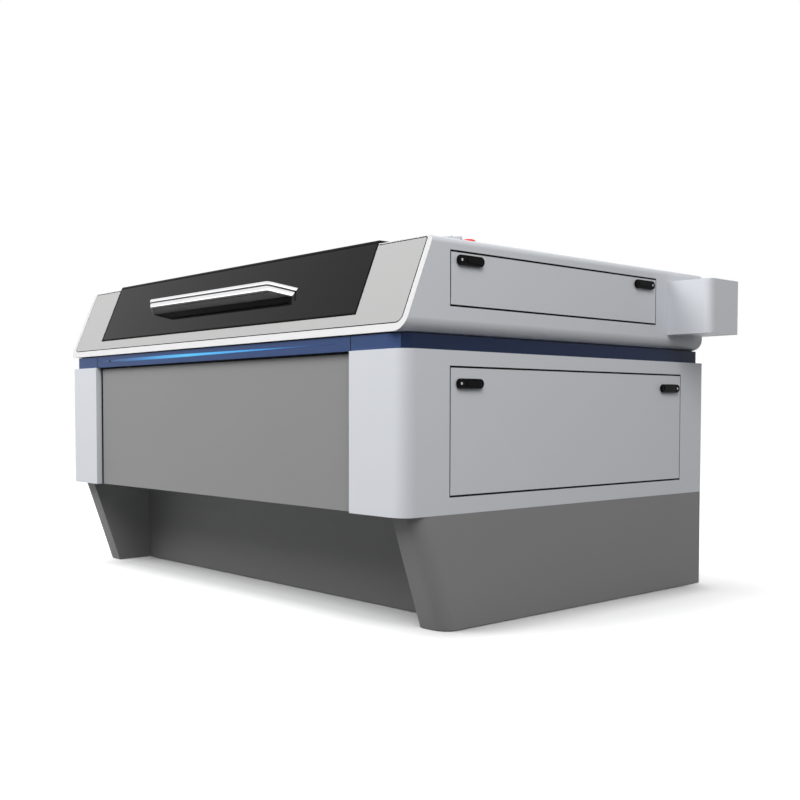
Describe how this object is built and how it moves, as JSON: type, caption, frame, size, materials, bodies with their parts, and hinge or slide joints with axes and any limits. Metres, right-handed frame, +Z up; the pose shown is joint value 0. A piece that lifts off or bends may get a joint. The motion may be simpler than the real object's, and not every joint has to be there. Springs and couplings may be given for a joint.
{
  "type": "laser engraving machine",
  "caption": "Floor-standing laser engraving machine: slanted head with a tinted hinged lid over a moving gantry and lifting bed, on a cabinet with service doors and a plinth.",
  "frame": {"origin": "middle of the footprint's bounding box, end box and exhaust collar included, on the floor", "axes": "+X to the machine's right as its operator faces it from the front, +Y to its back, +Z up; the front faces -Y"},
  "size_m": [2.055, 1.455, 1.084],
  "materials": {
    "white_paint": "smooth powder coat",
    "trim_paint": "smooth powder coat",
    "fascia_paint": "satin powder coat",
    "door_paint": "satin powder coat",
    "plinth_paint": "satin powder coat",
    "belt_paint": "satin powder coat",
    "strip_light": "lit diffuser",
    "frame_paint": "matt paint on welded tube",
    "lid_paint": "satin paint",
    "tinted_pane": "polished",
    "galvanised": "galvanised sheet",
    "steel": "turned or plated",
    "chrome": "polished",
    "black_plastic": "fine texture",
    "display": "glossy",
    "stop_base": "moulded",
    "stop_red": "moulded",
    "anodised": "anodised",
    "bed_paint": "satin paint",
    "tube_glass": "clear",
    "electronics": "housings on a plate"
  },
  "bodies": {
    "machine": {"plinth_cheeks": "plinth_paint", "plinth_kick_panel": "plinth_paint", "base_frame": "frame_paint", "levelling_feet": "steel", "main_frame": "frame_paint", "cabinet_floor": "galvanised", "cabinet_side_left": "white_paint", "cabinet_side_right": "white_paint", "rear_panel": "white_paint", "door_pivots": "steel", "belt_ends": "belt_paint", "belt_centre": "belt_paint", "light_strip": "strip_light", "head_side_left": "white_paint", "head_side_right": "white_paint", "head_front_frame": "trim_paint", "front_fascia": "fascia_paint", "head_rear_cover": "white_paint", "chamber_rear_wall": "galvanised", "tube_end_box": "white_paint", "lid_hinges": "steel", "console": "white_paint", "display": "display", "estop_base": "stop_base", "y_modules": "anodised", "y_motor": "lid_paint", "laser_tube": "tube_glass", "tube_clamps": "frame_paint", "scrap_tray": "galvanised", "electronics": "electronics", "exhaust_collar": "galvanised"},
    "front_door_body": {"front_door": "door_paint"},
    "lower_door_body": {"side_door_lower": "white_paint", "latch_bodies_lower": "black_plastic"},
    "upper_door_body": {"side_door_upper": "white_paint", "latch_bodies_upper": "black_plastic"},
    "lid_body": {"lid_frame": "lid_paint", "lid_front_pane": "tinted_pane", "lid_top_pane": "tinted_pane", "lid_handle": "anodised"},
    "spring_tube_left": {"gas_spring_tube_left": "lid_paint"},
    "spring_tube_right": {"gas_spring_tube_right": "lid_paint"},
    "spring_rod_left": {"gas_spring_rod_left": "chrome"},
    "spring_rod_right": {"gas_spring_rod_right": "chrome"},
    "lever_upper_front": {"latch_lever_upper_front": "black_plastic"},
    "lever_upper_rear": {"latch_lever_upper_rear": "black_plastic"},
    "lever_lower_front": {"latch_lever_lower_front": "black_plastic"},
    "lever_lower_rear": {"latch_lever_lower_rear": "black_plastic"},
    "stop_button": {"estop_button": "stop_red"},
    "key": {"key_switch": "steel"},
    "drive_shaft": {"y_drive_shaft": "steel"},
    "gantry": {"gantry_beam": "anodised"},
    "carriage": {"laser_carriage": "lid_paint", "laser_head": "anodised"},
    "bed": {"bed_frame": "bed_paint", "bed_slats": "anodised"},
    "screw_1": {"bed_screw_1": "steel"},
    "screw_2": {"bed_screw_2": "steel"},
    "screw_3": {"bed_screw_3": "steel"},
    "screw_4": {"bed_screw_4": "steel"}
  },
  "joints": [
    {"name": "lid_hinge", "type": "hinge", "parent": "machine", "child": "lid_body", "pos_m": [-0.0775, 0.2525, 1.062], "axis": [-1, 0, 0], "range_deg": [0, 55]},
    {"name": "front_door_hinge", "type": "hinge", "parent": "machine", "child": "front_door_body", "pos_m": [-0.0775, -0.6975, 0.326], "axis": [1, 0, 0], "range_deg": [0, 90]},
    {"name": "lower_door_hinge", "type": "hinge", "parent": "machine", "child": "lower_door_body", "pos_m": [0.8655, -0.0045, 0.3705], "axis": [0, 1, 0], "range_deg": [0, 90]},
    {"name": "upper_door_hinge", "type": "hinge", "parent": "machine", "child": "upper_door_body", "pos_m": [0.8655, -0.0795, 0.8795], "axis": [0, 1, 0], "range_deg": [0, 90]},
    {"name": "spring_pivot_left", "type": "hinge", "parent": "machine", "child": "spring_tube_left", "pos_m": [-0.7675, 0.1725, 1], "axis": [-1, 0, 0], "range_deg": [0, 60]},
    {"name": "spring_stroke_left", "type": "slide", "parent": "spring_tube_left", "child": "spring_rod_left", "axis": [0, -0.9887, 0.15], "range_m": [0, 0.092]},
    {"name": "spring_pivot_right", "type": "hinge", "parent": "machine", "child": "spring_tube_right", "pos_m": [0.6125, 0.1725, 1], "axis": [-1, 0, 0], "range_deg": [0, 60]},
    {"name": "spring_stroke_right", "type": "slide", "parent": "spring_tube_right", "child": "spring_rod_right", "axis": [0, -0.9887, 0.15], "range_m": [0, 0.092]},
    {"name": "latch_upper_front", "type": "hinge", "parent": "upper_door_body", "child": "lever_upper_front", "pos_m": [0.8725, -0.523, 0.997], "axis": [-1, 0, 0], "range_deg": [0, 90]},
    {"name": "latch_upper_rear", "type": "hinge", "parent": "upper_door_body", "child": "lever_upper_rear", "pos_m": [0.8725, 0.364, 0.997], "axis": [1, 0, 0], "range_deg": [0, 90]},
    {"name": "latch_lower_front", "type": "hinge", "parent": "lower_door_body", "child": "lever_lower_front", "pos_m": [0.8725, -0.523, 0.668], "axis": [-1, 0, 0], "range_deg": [0, 90]},
    {"name": "latch_lower_rear", "type": "hinge", "parent": "lower_door_body", "child": "lever_lower_rear", "pos_m": [0.8725, 0.514, 0.668], "axis": [1, 0, 0], "range_deg": [0, 90]},
    {"name": "stop_press", "type": "slide", "parent": "machine", "child": "stop_button", "axis": [0, 0, -1], "range_m": [0, 0.004], "stiffness_N_per_m": 800, "springref_m": -0.002},
    {"name": "key_turn", "type": "hinge", "parent": "machine", "child": "key", "pos_m": [0.7175, -0.3865, 1.06], "axis": [0, 0, 1], "range_deg": [0, 90]},
    {"name": "gantry_travel", "type": "slide", "parent": "machine", "child": "gantry", "axis": [0, -1, 0], "range_m": [0, 0.9]},
    {"name": "carriage_travel", "type": "slide", "parent": "gantry", "child": "carriage", "axis": [1, 0, 0], "range_m": [0, 1.4]},
    {"name": "drive_shaft_spin", "type": "hinge", "parent": "machine", "child": "drive_shaft", "pos_m": [-0.0775, 0.3845, 0.832], "axis": [1, 0, 0], "continuous": true},
    {"name": "bed_lift", "type": "slide", "parent": "machine", "child": "bed", "axis": [0, 0, -1], "range_m": [0, 0.2]},
    {"name": "screw_spin_1", "type": "hinge", "parent": "machine", "child": "screw_1", "pos_m": [-0.8345, -0.5775, 0.6], "axis": [0, 0, 1], "continuous": true},
    {"name": "screw_spin_2", "type": "hinge", "parent": "machine", "child": "screw_2", "pos_m": [0.6795, -0.5775, 0.6], "axis": [0, 0, 1], "continuous": true},
    {"name": "screw_spin_3", "type": "hinge", "parent": "machine", "child": "screw_3", "pos_m": [-0.8345, 0.2525, 0.6], "axis": [0, 0, 1], "continuous": true},
    {"name": "screw_spin_4", "type": "hinge", "parent": "machine", "child": "screw_4", "pos_m": [0.6795, 0.2525, 0.6], "axis": [0, 0, 1], "continuous": true}
  ],
  "couplings": [
    {"joint": "spring_pivot_left", "follows": "lid_hinge", "ratio": 1.071},
    {"joint": "spring_pivot_right", "follows": "lid_hinge", "ratio": 1.071},
    {"joint": "spring_stroke_left", "follows": "lid_hinge", "m_per_rad": 0.0945},
    {"joint": "spring_stroke_right", "follows": "lid_hinge", "m_per_rad": 0.0945},
    {"joint": "drive_shaft_spin", "follows": "gantry_travel", "rad_per_m": 104.72},
    {"joint": "screw_spin_1", "follows": "bed_lift", "rad_per_m": 1256.6},
    {"joint": "screw_spin_2", "follows": "bed_lift", "rad_per_m": 1256.6},
    {"joint": "screw_spin_3", "follows": "bed_lift", "rad_per_m": 1256.6},
    {"joint": "screw_spin_4", "follows": "bed_lift", "rad_per_m": 1256.6}
  ]
}
